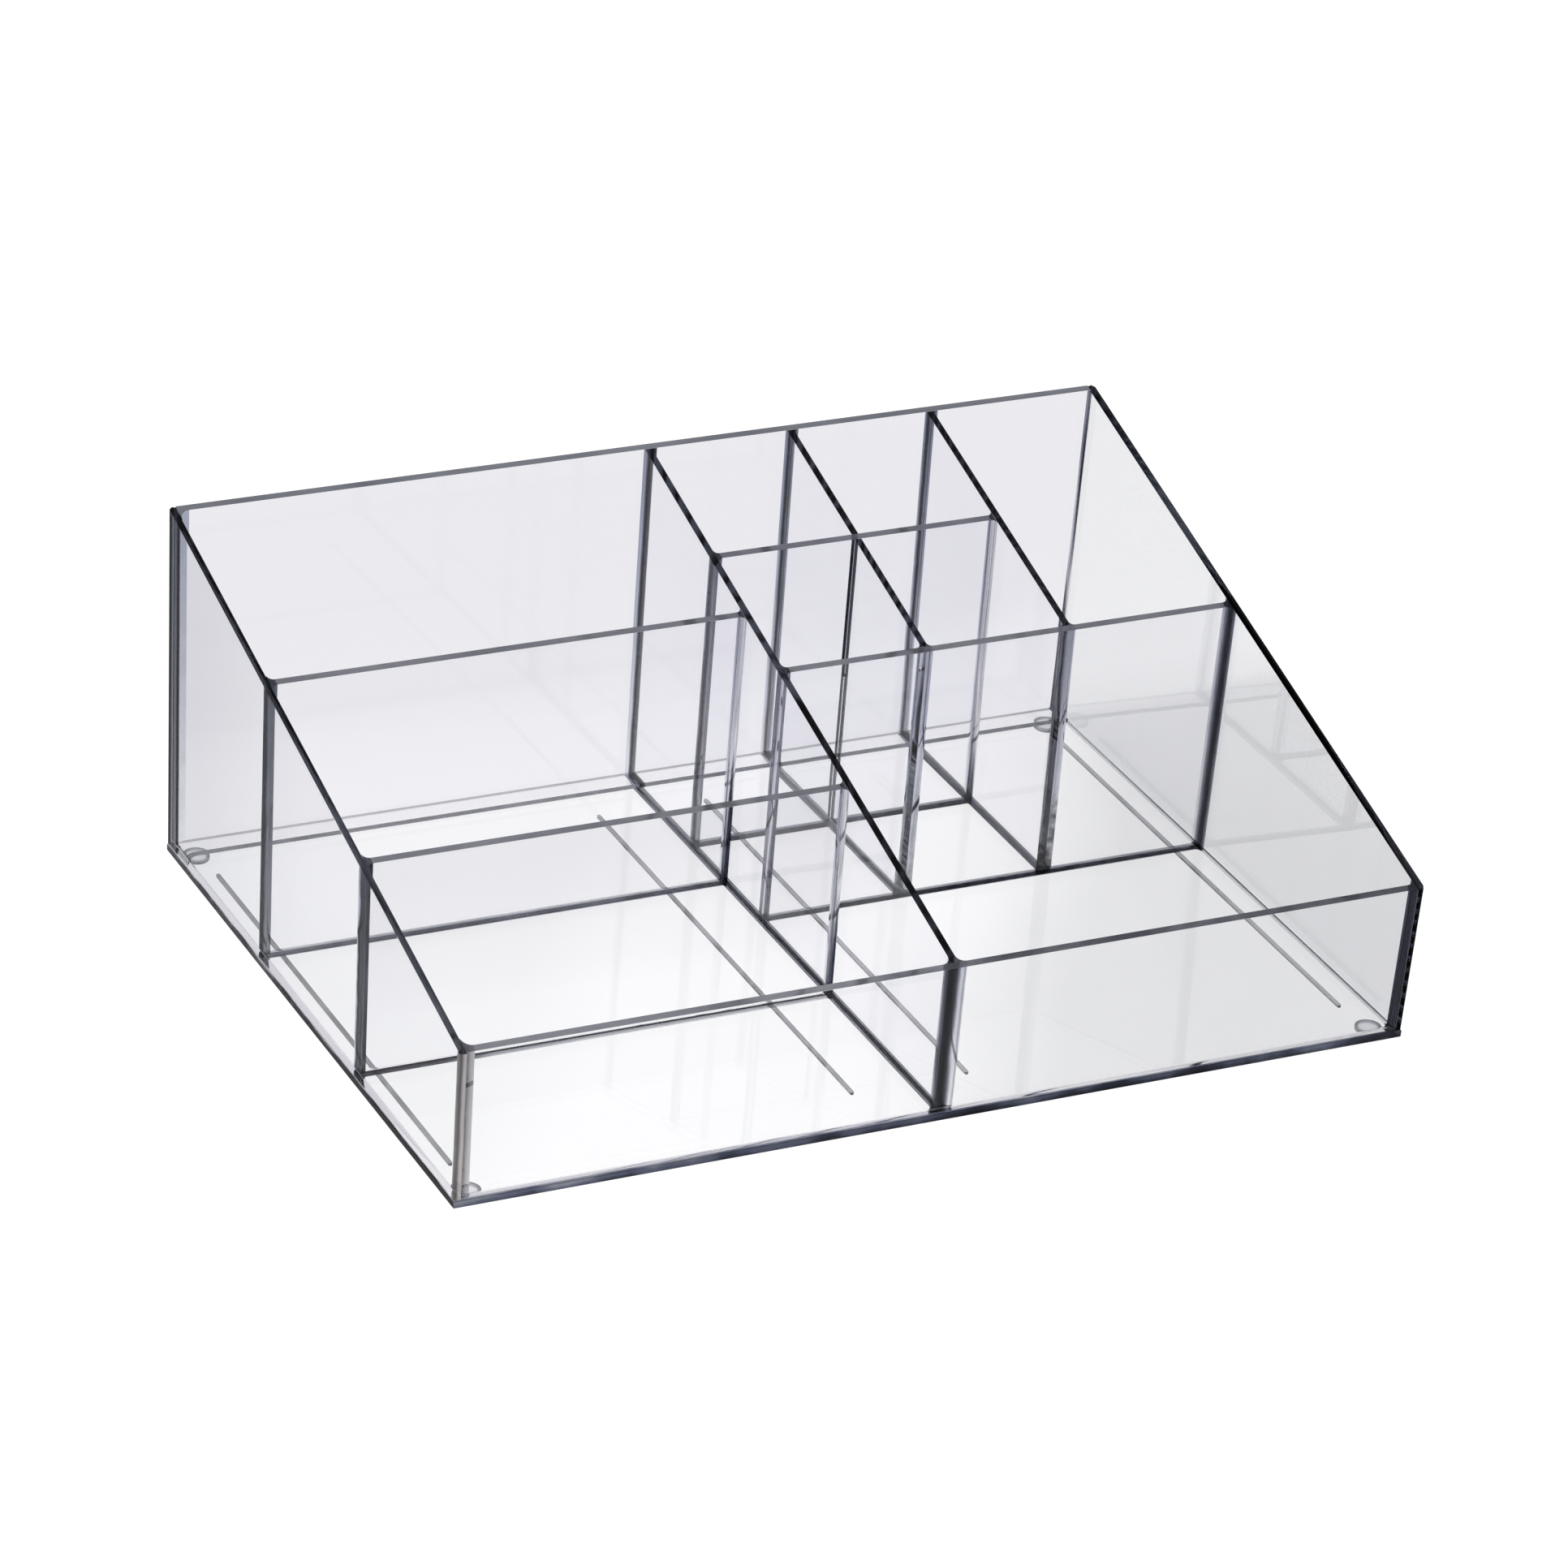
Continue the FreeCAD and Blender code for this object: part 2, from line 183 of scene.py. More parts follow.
    soak = node(nt, "ShaderNodeVolumeAbsorption")
    soak.inputs["Color"].default_value = (0.60, 0.62, 0.70, 1.0)
    soak.inputs["Density"].default_value = 9.0
    nt.links.new(soak.outputs["Volume"], out.inputs["Volume"])
    return m


def grey(g, blue=0.0):
    """A grey with a little navy in it."""
    return (g, g * (1.0 + 0.15 * blue), g * (1.0 + blue))


def sheet(name, low, high, ior, wave=0.04, **kw):
    return plastic(name, ((0.3, low), (0.7, high)), (0.0, 0.012), 9.0, ior, wave=wave, **kw)


X, Y, Z = (1.0, 0.0, 0.0), (0.0, 1.0, 0.0), (0.0, 0.0, 1.0)


def streaks(name, stops, ior=1.08, foot=0.0, weight=1.0):
    """Upright streaks of painted shade and painted light, darker towards the foot."""
    drift = (Z, 4.0, 50.0, -foot, 0.0) if foot else None
    return plastic(name, stops, (0.02, 0.10), 520.0, ior, weight=weight, stretch=(1.0, 1.0, 0.02), drift=drift, detail=1.0)


def bands(name, way, start, end, stops, jitter=0.06, ior=1.05, weight=1.0, shade=None):
    """Upright bands of painted shade and painted light, in order from start to end along a direction, with uneven
    edges.
    """
    return plastic(name, stops, (0.02, 0.10), 260.0, ior, weight=weight, stretch=(1.0, 1.0, 0.30), band=(way, start, end, jitter), shade=shade, detail=2.0)


# tones for the painted shade and painted light of the ends, flares and edges
INK, NAVY, SLATE, MIST, PALE = (0.0008, 0.0009, 0.0014), (0.0030, 0.0034, 0.0075), (0.030, 0.031, 0.042), (0.25, 0.25, 0.28), (0.82, 0.818, 0.84)
COAL, LEAD, FOG = (0.028, 0.031, 0.050), (0.15, 0.153, 0.178), (0.48, 0.48, 0.515)

# sheets: tints that differ at random; the back, left, right, step and floor sheets also carry painted shade, a grey
# that deepens across them
# painted shade: the back sheet greys towards its top
back_mat = plastic("clear_back_sheet", ((0.0, (0.850, 0.846, 0.872)), (0.30, (0.832, 0.828, 0.856)), (0.60, (0.780, 0.775, 0.806)), (1.0, (0.772, 0.767, 0.799))),
                   (0.0, 0.012), 9.0, 1.25, band=(Z, 10.0, 70.0, 0.05), wave=0.04)
# painted shade: the left sheet greys and turns slightly blue towards the back
left_mat = plastic("clear_left_sheet", ((0.0, grey(0.955, 0.006)), (0.5, grey(0.925, 0.010)), (0.75, grey(0.860, 0.020)), (1.0, grey(0.805, 0.026))),
                   (0.0, 0.012), 9.0, 1.05, band=(Y, -90.0, 90.0, 0.05), wave=0.04)
# painted shade: the right sheet is grey all over, darker towards the front and the foot, below a slanting line
right_mat = plastic("clear_right_sheet", ((0.0, grey(0.640, 0.030)), (0.40, grey(0.660, 0.030)), (0.60, grey(0.760, 0.020)), (1.0, grey(0.800, 0.020))),
                    (0.0, 0.008), 9.0, 1.50, band=((0.0, 0.60, 1.0), BACK_Y * 0.60 - 14.0, BACK_Y * 0.60 + 14.0, 0.05), wave=0.04)
front_mat = sheet("clear_front_sheet", (0.965, 0.965, 0.970), (0.985, 0.985, 0.988), 1.20)
rear_mat = sheet("clear_rear_step_sheet", (0.955, 0.953, 0.962), (0.985, 0.983, 0.990), 1.25)
# painted shade: the front step sheet greys towards its top
step_mat = plastic("clear_step_sheet", ((0.0, (0.980, 0.979, 0.984)), (0.22, (0.975, 0.974, 0.980)), (0.38, (0.942, 0.940, 0.950)), (1.0, (0.880, 0.878, 0.892))),
                   (0.0, 0.012), 9.0, 1.25, band=(Z, 5.0, 65.0, 0.04), wave=0.04)
brush_mat = sheet("clear_brush_sheet", (0.935, 0.934, 0.942), (0.960, 0.959, 0.966), 1.30)
panel_mat = sheet("clear_divider_sheet", (0.945, 0.943, 0.960), (0.975, 0.974, 0.986), 1.15, wave=0.12)
# painted shade: the floor sheet greys in bands across it, most towards its right front, a little towards its left back
base_mat = plastic("clear_floor_sheet", ((0.0, grey(0.925, 0.010)), (0.22, grey(0.935, 0.010)), (0.33, grey(0.985, 0.004)), (0.63, grey(0.975, 0.006)), (0.72, grey(0.920, 0.010)),
                                         (0.80, grey(0.830, 0.014)), (0.86, grey(0.768, 0.020)), (1.0, grey(0.758, 0.020))),
                   (0.0, 0.012), 9.0, 1.30, band=((1.0, -0.7, 0.0), -150.0, 155.0, 0.03), wave=0.03)
tread_mat = sheet("clear_ledge", (0.945, 0.943, 0.955), (0.975, 0.974, 0.982), 1.25)

# rims: painted shade, near black or dark grey in place of the dark that refraction gives along the edges; the front rim
# is painted lighter to its left
rim_along_mat = plastic("rim_along_painted_shade", ((0.3, grey(0.007, 0.4)), (0.7, grey(0.022, 0.3))), (0.08, 0.20), 40.0, 1.10)
rim_across_mat = plastic("rim_across_painted_shade", ((0.3, grey(0.25, 0.14)), (0.7, grey(0.43, 0.08))), (0.10, 0.25), 40.0, 1.12, weight=0.35)
rim_front_mat = plastic("rim_front_painted_shade", ((0.3, grey(0.07, 0.3)), (0.7, grey(0.36, 0.12))), (0.10, 0.25), 40.0, 1.15, weight=0.35,
                        drift=(X, -40.0, 40.0, 0.16, -0.16))

# feet, edges and the strips under the floor: painted shade and painted light, the dark and pale lines that refraction
# gives at the joints, edges, feet and runners
seat_mat = plastic("groove_seat", ((0.3, grey(0.16, 0.2)), (0.7, grey(0.32, 0.14))), (0.05, 0.18), 60.0, 1.15)
soft_seat = plastic("groove_seat_soft", ((0.3, grey(0.36, 0.10)), (0.7, grey(0.54, 0.08))), (0.05, 0.18), 60.0, 1.15)
step_seat = plastic("groove_seat_step", ((0.3, grey(0.34, 0.10)), (0.7, grey(0.46, 0.08))), (0.05, 0.18), 60.0, 1.30)
line_mat = plastic("ledge_line", ((0.3, grey(0.04, 0.25)), (0.7, grey(0.11, 0.2))), (0.05, 0.18), 60.0, 1.15)
pale_mat = plastic("wall_seat", ((0.3, grey(0.72, 0.05)), (0.7, grey(0.88, 0.04))), (0.02, 0.10), 60.0, 1.15)
# painted shade: the front edge of the floor, dark navy, lighter towards its top
navy_mat = plastic("floor_edge_front", ((0.25, (0.014, 0.016, 0.024)), (0.45, (0.060, 0.068, 0.100)), (0.55, (0.15, 0.165, 0.24)), (0.66, (0.22, 0.24, 0.33)), (0.76, (0.45, 0.47, 0.56))),
                   (0.04, 0.14), 45.0, 1.12, weight=0.4, drift=((-0.01, 0.0, 1.0), 0.0, 6.0, -0.25, 0.35))
# painted shade: the left edge, near black below and pale at its top
ink_mat = plastic("floor_edge_left", ((0.30, (0.004, 0.004, 0.006)), (0.60, (0.018, 0.019, 0.025)), (0.72, LEAD), (0.84, PALE)), (0.04, 0.14), 45.0, 1.10, weight=0.5,
                  drift=(Z, 2.9, 3.9, -0.04, 0.32))
edge_mat = plastic("floor_edge_right", ((0.3, grey(0.60, 0.06)), (0.7, grey(0.78, 0.05))), (0.35, 0.50), 60.0, 1.15, weight=0.5)
# painted shade: the runners grey, lighter towards the right
runner_mat = plastic("clear_runner_strip", ((0.2, grey(0.20, 0.06)), (0.5, grey(0.34, 0.05)), (0.8, grey(0.48, 0.04))), (0.02, 0.08), 55.0, 1.25,
                     drift=(X, -142.0, 142.0, -0.15, 0.25))
# painted shade: each foot drawn as a dark ring round a pale middle
foot_mat = plastic("soft_foot_painted_shade_ring", ((0.0, grey(0.82, 0.03)), (0.34, grey(0.74, 0.04)), (0.42, grey(0.16, 0.1)), (0.5, grey(0.24, 0.1))),
                   (0.06, 0.16), 160.0, 1.30, ring=True)

# ends and flares: painted shade and painted light, the dark and light upright lines that refraction gives at the ends
# and flares of the sheets
navy_streak = streaks("streak_navy", ((0.30, INK), (0.52, NAVY), (0.66, (0.008, 0.009, 0.020)), (0.74, SLATE)))
mixed_streak = streaks("streak_mixed", ((0.30, INK), (0.42, COAL), (0.52, LEAD), (0.60, PALE), (0.70, FOG)), foot=0.10)
light_streak = streaks("streak_light", ((0.30, COAL), (0.37, LEAD), (0.43, FOG), (0.50, PALE), (0.58, FOG), (0.70, PALE)), foot=0.16)
# painted shade: the flares a pale grey
soft_flare = plastic("clear_flare", ((0.3, grey(0.70, 0.05)), (0.7, grey(0.90, 0.04))), (0.02, 0.08), 120.0, 1.12)
STEP_FLARE, CENTRE_FLARE = 1.9, 2.6
rear_band = bands("bands_rear_step", Y, STEP_RY - HALF - STEP_FLARE, STEP_RY + HALF + STEP_FLARE,
                  ((0.0, grey(0.090, 0.2)), (0.28, grey(0.060, 0.2)), (0.42, grey(0.012, 0.4)), (0.50, INK), (0.86, INK), (1.0, SLATE)), 0.08)
front_band = bands("bands_front_step", Y, STEP_FY - HALF - STEP_FLARE, STEP_FY + HALF + STEP_FLARE,
                   ((0.0, grey(0.030, 0.3)), (0.16, grey(0.010, 0.4)), (0.34, INK), (0.48, grey(0.014, 0.4)), (0.62, INK), (0.78, NAVY), (0.88, MIST), (1.0, PALE)), 0.14)
centre_band = bands("bands_centre", X, -HALF - CENTRE_FLARE, HALF + CENTRE_FLARE,
                    ((0.0, FOG), (0.06, LEAD), (0.13, grey(0.020, 0.3)), (0.28, grey(0.016, 0.4)), (0.40, INK), (0.56, INK), (0.63, grey(0.014, 0.4)), (0.70, LEAD),
                     (0.78, PALE), (0.87, PALE), (0.93, grey(0.20, 0.1)), (1.0, PALE)), 0.04)
corner_band = bands("bands_back_corner", (0.0, 1.0, -END_LEAN), BACK_Y - WALL - 3.4, BACK_Y,
                    ((0.0, grey(0.25, 0.1)), (0.08, grey(0.050, 0.2)), (0.15, INK), (0.38, INK), (0.48, grey(0.030, 0.3)), (0.56, grey(0.060, 0.2)), (0.76, grey(0.060, 0.2)), (0.86, grey(0.010, 0.3)), (1.0, INK)), 0.025)
left_end_band = bands("bands_left_end", (1.0, 0.0, SIDE_LEAN), -BASE_W / 2, -XI,
                      ((0.0, INK), (0.62, INK), (0.76, grey(0.020, 0.3)), (0.88, grey(0.055, 0.2)), (1.0, grey(0.040, 0.2))), 0.03)
front_corner = bands("bands_front_corner", (1.0, 0.0, SIDE_LEAN), -BASE_W / 2, -BASE_W / 2 + 5.1,
                     tuple((t, (g * 1.02, g * 0.975, g * 0.965)) for t, g in ((0.0, 0.40), (0.08, 0.20), (0.16, 0.24), (0.28, 0.82), (0.38, 0.82), (0.48, 0.42), (0.58, 0.20), (0.70, 0.30),
                                                                              (0.80, 0.60), (0.90, 0.74), (1.0, 0.86))), 0.03, weight=0.4)
tray_end_band = bands("bands_tray_end", Y, BRUSH_FY - HALF - 2.4, BRUSH_FY + HALF + 2.4,
                      ((0.0, grey(0.20, 0.2)), (0.09, grey(0.080, 0.2)), (0.18, grey(0.014, 0.4)), (0.30, grey(0.002, 0.5)), (0.52, grey(0.003, 0.5)), (0.66, grey(0.016, 0.4)), (0.82, grey(0.10, 0.2)), (0.94, FOG),
                       (1.0, PALE)), 0.03)
cross_band = bands("bands_cross_end", Y, BRUSH_CY - HALF - 1.5, BRUSH_CY + HALF + 1.5,
                   ((0.0, grey(0.20, 0.1)), (0.25, grey(0.07, 0.2)), (0.45, NAVY), (0.72, INK), (0.86, SLATE), (1.0, MIST)), 0.08)
left_brush_front = bands("bands_left_brush_front", X, BRUSH_LX - HALF - 1.5, BRUSH_LX + HALF + 1.5,
                         ((0.0, grey(0.60, 0.1)), (0.10, grey(0.30, 0.1)), (0.28, grey(0.60, 0.1)), (0.46, grey(0.42, 0.1)), (0.62, grey(0.78, 0.08)), (0.78, grey(0.45, 0.1)), (0.90, grey(0.55, 0.1)), (1.0, PALE)),
                         0.10, shade=(4.0, 46.0, 0.22))
right_brush_front = bands("bands_right_brush_front", X, BRUSH_RX - HALF - 1.5, BRUSH_RX + HALF + 1.5,
                          ((0.0, MIST), (0.09, grey(0.035, 0.2)), (0.20, grey(0.30, 0.1)), (0.37, grey(0.48, 0.1)), (0.53, grey(0.44, 0.1)), (0.68, grey(0.30, 0.1)), (0.83, grey(0.55, 0.1)), (1.0, PALE)),
                          0.07, shade=(10.0, 34.0, 0.02))


def foot_band(name, x, dark):
    """Foot of a divider: a thin line of painted shade along each side, lighter between them."""
    return plastic(name, ((0.0, grey(dark, 0.2)), (0.16, grey(dark, 0.2)), (0.30, grey(0.62, 0.06)), (0.70, grey(0.62, 0.06)), (0.84, grey(dark, 0.2)), (1.0, grey(dark, 0.2))),
                   (0.05, 0.18), 60.0, 1.12, band=(X, x - HALF - FOOT, x + HALF + FOOT, 0.05))


left_brush_foot = foot_band("foot_left_brush", BRUSH_LX, 0.22)
right_brush_foot = foot_band("foot_right_brush", BRUSH_RX, 0.09)
# painted shade: the foot of the front step, dark towards the left wall, lighter towards the middle
front_step_foot = plastic("foot_front_step", ((0.0, grey(0.07, 0.2)), (0.40, grey(0.10, 0.2)), (0.62, grey(0.52, 0.08)), (1.0, grey(0.60, 0.06))),
                          (0.05, 0.18), 60.0, 1.05, band=(X, -150.0, -80.0, 0.06))


def back_end_band(name, x, left, right, middle):
    """A single upright line of painted shade with soft shoulders, across the back end of a divider."""
    stops = ((-0.60, 0.88), (-0.45, 0.85), (-0.36, 0.60), (-0.25, 0.18), (-0.15, 0.02), (-0.07, 0.002), (0.09, 0.002), (0.19, 0.03), (0.31, 0.12), (0.49, 0.40))
    return bands(name, X, x - HALF - left, x + HALF + right, tuple((min(max(middle + t, 0.0), 1.0), grey(g, 0.15)) for t, g in stops), 0.04)


centre_back = back_end_band("bands_centre_back", CENTRE_X, 0.3, 1.8, 0.68)
left_brush_back = back_end_band("bands_left_brush_back", BRUSH_LX, 0.5, 1.6, 0.51)
right_brush_back = back_end_band("bands_right_brush_back", BRUSH_RX, 0.5, 1.6, 0.42)


# ------------------------------------------------------------------ mesh building
def at(v, h):
    """A plan point carried up to h above the underside of the floor, following the lean of the wall it belongs to."""
    x, y, dx, dy = v
    return Vector((x + dx * h, y + dy * h, FOOT_H + h)) * MM


def rim_height(v):
    """Where the upright line through a plan point meets the rim plane."""
    return (FRONT_H + RISE * (v[1] - RIM_FRONT)) / (1 - RISE * v[3])


def foot(h, r):
    """How far a foot stands out at height h above the top of the floor: a fillet of radius r, or the ledge."""
    if r == LEDGE:
        return LEDGE_W if h < LEDGE_H - 0.1 else LEDGE_W - 0.3 if h <= LEDGE_H else 0.0
    u = max(h - GAP, 0.0)
    if u >= r:
        return 0.0
    return r - math.sqrt(max(r * r - (r - u) ** 2, 0.0))


def arc(cx, cy, r, a0, a1, lean, steps=7):
    pts = []
    for i in range(steps + 1):
        a = math.radians(a0 + (a1 - a0) * i / steps)
        pts.append((cx + r * math.cos(a), cy + r * math.sin(a), *lean))
    return pts


def levels(*feet):
    """Heights above the top of the floor at which a foot is drawn."""
    hs = {GAP}
    for r in feet:
        if r == LEDGE:
            hs |= {LEDGE_H - 0.3, LEDGE_H, LEDGE_H + 0.02}
        else:
            hs |= {GAP + r * (1 - math.cos(math.radians(15 * i))) for i in range(1, 7)}
    return sorted(hs)


def solid(name, plan, heights, mats, tongue, cutters=(), dark=0.0, capped=False, sole=UNDER, rounded=True,
          tread=None, footed=range(99)):
    """A sheet standing on the floor: its plan outline at each height up to the rim plane, with its rim edges rounded.
    plan(h) gives the outline and what each of its edges is: a face, a flare or an end. The edges in footed have a foot
    painted dark, as painted shade."""
    bm = bmesh.new()
    rings, marks = [], []
    if tongue:    # the lower edge, in its groove
        pts, kinds = plan(99.0)
        rings.append([bm.verts.new(at(v, FLOOR_T - GROOVE + GAP)) for v in pts])
        rings.append([bm.verts.new(at(v, FLOOR_T - GAP)) for v in pts])
        marks += [UNDER, UNDER]
    for h in heights:
        pts, kinds = plan(h)
        rings.append([bm.verts.new(at(v, FLOOR_T + h)) for v in pts])
        marks.append(UNDER if h < dark else SOLE if h == tread else None)
    pts, kinds = plan(99.0)
    rings.append([bm.verts.new(at(v, rim_height(v))) for v in pts])
    n = len(pts)
    top = rings[-1]
    bm.faces.new(rings[0][::-1]).material_index = sole
    if capped:    # the rim in three parts: the two flared ends and the straight part between them
        bm.faces.new(top[24:] + top[:8]).material_index = CAP
        bm.faces.new((top[7], top[8], top[23], top[24])).material_index = RIM
        bm.faces.new(top[8:24]).material_index = CAP
    else:
        bm.faces.new(top).material_index = RIM
    for j in range(len(rings) - 1):
        lo, hi = rings[j], rings[j + 1]
        for i in range(n):
            k = (i + 1) % n
            f = bm.faces.new((lo[i], lo[k], hi[k], hi[i]))
            f.material_index = kinds[i] if marks[j] is None or i not in footed or kinds[i] in (END_A, END_B) else marks[j]
    rims = [bm.edges.get((top[i], top[(i + 1) % n])) for i in range(n)]
    bmesh.ops.bevel(bm, geom=rims, offset=RIM_ROUND * MM, segments=3, profile=0.5, affect="EDGES", material=-1, clamp_overlap=True)
    bmesh.ops.recalc_face_normals(bm, faces=bm.faces)
    for f in bm.faces:    # the rounding takes the painted shade of the rim beside it, or stays clear
        if f.normal.z > 0.2 and f.calc_center_median().z > 0.030 and f.material_index not in (RIM, CAP):
            if f.material_index != CLEAR:
                f.material_index = CAP
            elif rounded:
                f.material_index = RIM
            f.smooth = True
    me = bpy.data.meshes.new(name)
    bm.to_mesh(me)
    bm.free()
    me.set_sharp_from_angle(angle=math.radians(35))
    for f in me.polygons:    # the sheet's own faces stay flat
        f.use_smooth = f.material_index != CLEAR or f.area < 0.0004
    ob = bpy.data.objects.new(name, me)
    bpy.context.scene.collection.objects.link(ob)
    for m in mats:
        me.materials.append(m)
    for lo, hi in cutters:
        slot_cut(ob, lo, hi)
    return ob


def slot_cut(ob, lo, hi):
    """Cuts an upright slot, given by two corners in millimetres, out of a piece."""
    bm = bmesh.new()
    v = [bm.verts.new(Vector((x, y, z)) * MM) for z in (lo[2], hi[2]) for y in (lo[1], hi[1]) for x in (lo[0], hi[0])]
    for q in ((0, 2, 3, 1), (4, 5, 7, 6), (0, 1, 5, 4), (2, 6, 7, 3), (0, 4, 6, 2), (1, 3, 7, 5)):
        bm.faces.new([v[i] for i in q])
    me = bpy.data.meshes.new("slot_cutter")
    bm.to_mesh(me)
    bm.free()
    tool = bpy.data.objects.new("slot_cutter", me)
    bpy.context.scene.collection.objects.link(tool)
    for m in ob.data.materials:
        me.materials.append(m)
    for f in me.polygons:
        f.material_index = END_A
    b = ob.modifiers.new("slot", "BOOLEAN")
    b.object = tool
    b.operation = "DIFFERENCE"
    b.solver = "EXACT"
    deps = bpy.context.evaluated_depsgraph_get()
    made = bpy.data.meshes.new_from_object(ob.evaluated_get(deps))
    ob.modifiers.clear()
    old, ob.data = ob.data, made
    made.name = ob.name
    bpy.data.meshes.remove(old)
    bpy.data.objects.remove(tool)
    bpy.data.meshes.remove(me)


KINDS = [FLARE_A] * 7 + [CLEAR] + [FLARE_B] * 7 + [END_B] + [FLARE_B] * 7 + [CLEAR] + [FLARE_A] * 7 + [END_A]
KINDS_ACROSS = KINDS[:16] + [FAR] * 7 + [CLEAR] + [FAR] * 7 + [END_A]    # the flares on the back face are clear


def across(xl, lean_l, foot_l, xr, lean_r, foot_r, y, flare_l=1.5, flare_r=1.5):
    """Plan of a divider that runs left to right: flared where it meets the walls, and set back from their feet
    (foot_l and foot_r)."""
    L, R = (lean_l, 0.0), (lean_r, 0.0)

    def plan(h):
        o = foot(h, FOOT)
        w, rl, rr = HALF + o, max(flare_l - o, 0.1), max(flare_r - o, 0.1)
        a, b = xl + GAP + foot(h, foot_l), xr - GAP - foot(h, foot_r)
        pts = arc(a + rl, y - w - rl, rl, 180, 90, L) + arc(b - rr, y - w - rr, rr, 90, 0, R)
        pts += arc(b - rr, y + w + rr, rr, 0, -90, R) + arc(a + rl, y + w + rl, rl, -90, -180, L)
        return pts, KINDS_ACROSS

    return plan


def along(yf, lean_f, foot_f, yb, lean_b, foot_b, x, flare_f=1.5, flare_b=(0.5, 1.6)):
    """Plan of a divider that runs front to back, made the same way; flare_b is its left and right flare at the back."""
    F, B = (0.0, lean_f), (0.0, lean_b)

    def plan(h):
        o = foot(h, FOOT)
        w, rf, rl, rr = HALF + o, max(flare_f - o, 0.1), max(flare_b[0] - o, 0.1), max(flare_b[1] - o, 0.1)
        a, b = yf + GAP + foot(h, foot_f), yb - GAP - foot(h, foot_b)
        pts = arc(x + w + rf, a + rf, rf, -90, -180, F) + arc(x + w + rr, b - rr, rr, 180, 90, B)
        pts += arc(x - w - rl, b - rl, rl, 90, 0, B) + arc(x - w - rf, a + rf, rf, 0, -90, F)
        return pts, KINDS

    return plan


def put(ob, node_name):
    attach(ob, "root")
    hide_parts(node_name)
    return ob


LV, LV_BACK = levels(FOOT), levels(FOOT, LEDGE)


def divider(name, plan, heights, sheet_mat, rim_mat, end_a, end_b, seat=seat_mat, flare_a=None, flare_b=None, **kw):
    mats = (sheet_mat, rim_mat, end_a, seat, end_b, rim_along_mat, flare_a or end_a, flare_b or end_b, seat, soft_flare)
    return put(solid(name + "_clear", plan, heights, mats, True, dark=FOOT + GAP - 0.01, capped=True,
                     rounded=rim_mat == rim_along_mat, **kw), name)


divider("centre_divider", along(YFI, -END_LEAN, FOOT, YBI, END_LEAN, LEDGE, CENTRE_X, flare_f=CENTRE_FLARE, flare_b=(0.3, 1.8)), LV_BACK,
        panel_mat, rim_along_mat, centre_band, centre_back, flare_a=soft_flare, flare_b=soft_flare)
divider("rear_step_divider", across(-XI, -SIDE_LEAN, FOOT, CENTRE_X - HALF, 0.0, FOOT, STEP_RY, flare_l=STEP_FLARE), LV,
        rear_mat, rim_across_mat, rear_band, light_streak, seat=soft_seat)
divider("front_step_divider", across(-XI, -SIDE_LEAN, FOOT, CENTRE_X - HALF, 0.0, FOOT, STEP_FY, flare_l=STEP_FLARE), LV,
        step_mat, rim_across_mat, front_band, light_streak, seat=front_step_foot,
        footed=[i for i in range(32) if i != 23])
divider("brush_front_panel", across(CENTRE_X + HALF, 0.0, FOOT, XI, SIDE_LEAN, FOOT, BRUSH_FY, flare_r=2.4), LV,
        brush_mat, rim_across_mat, mixed_streak, tray_end_band, flare_b=soft_flare)
divider("right_brush_divider", along(BRUSH_FY + HALF, 0.0, FOOT, YBI, END_LEAN, LEDGE, BRUSH_RX), LV_BACK,
        panel_mat, rim_along_mat, right_brush_front, right_brush_back, seat=right_brush_foot, flare_a=soft_flare, flare_b=soft_flare)

# the half-lap: one divider slotted from the rim down, the other from below
slot_w = HALF + GAP
divider("left_brush_divider", along(BRUSH_FY + HALF, 0.0, FOOT, YBI, END_LEAN, LEDGE, BRUSH_LX), LV_BACK,
        panel_mat, rim_along_mat, left_brush_front, left_brush_back, seat=left_brush_foot, flare_a=soft_flare, flare_b=soft_flare,
        cutters=[((BRUSH_LX - 9, BRUSH_CY - slot_w, FOOT_H + LAP_Z), (BRUSH_LX + 9, BRUSH_CY + slot_w, 140))])
divider("brush_cross_divider", across(CENTRE_X + HALF, 0.0, FOOT, BRUSH_RX - HALF, 0.0, FOOT, BRUSH_CY), LV,
        panel_mat, rim_across_mat, cross_band, light_streak,
        cutters=[((BRUSH_LX - slot_w, BRUSH_CY - 9, 0), (BRUSH_LX + slot_w, BRUSH_CY + 9, FOOT_H + LAP_Z)),
                 ((BRUSH_LX - slot_w - FOOT, BRUSH_CY - 9, 0), (BRUSH_LX + slot_w + FOOT, BRUSH_CY + 9, FOOT_H + FLOOR_T + GAP + FOOT))])


# outer walls: the side walls run the full depth, the front and back walls stand between them
def side_wall(name, s, mats, outer):
    lean = s * SIDE_LEAN
    r = 1.0
    F, B = (lean, -END_LEAN), (lean, END_LEAN)
    xo = s * BASE_W / 2

    def plan(h):
        xi = s * (XI - foot(h, FOOT))
        if s < 0:
            pts = arc(xo + r, FRONT_Y + r, r, 180, 270, F) + [(xi, FRONT_Y, *F), (xi, BACK_Y, *B)] + arc(xo + r, BACK_Y - r, r, 90, 180, B)
            return pts, [END_A] * 8 + [CLEAR] + [END_B] * 8 + [CLEAR]
        pts = arc(xo - r, FRONT_Y + r, r, 270, 360, F) + arc(xo - r, BACK_Y - r, r, 0, 90, B) + [(xi, BACK_Y, *B), (xi, FRONT_Y, *F)]
        return pts, [END_A] * 7 + [CLEAR] + [END_B] * 8 + [CLEAR] + [END_A]

    return put(solid(name + "_clear", plan, LV, mats, False, dark=0.35, sole=SOLE, footed=outer), name)


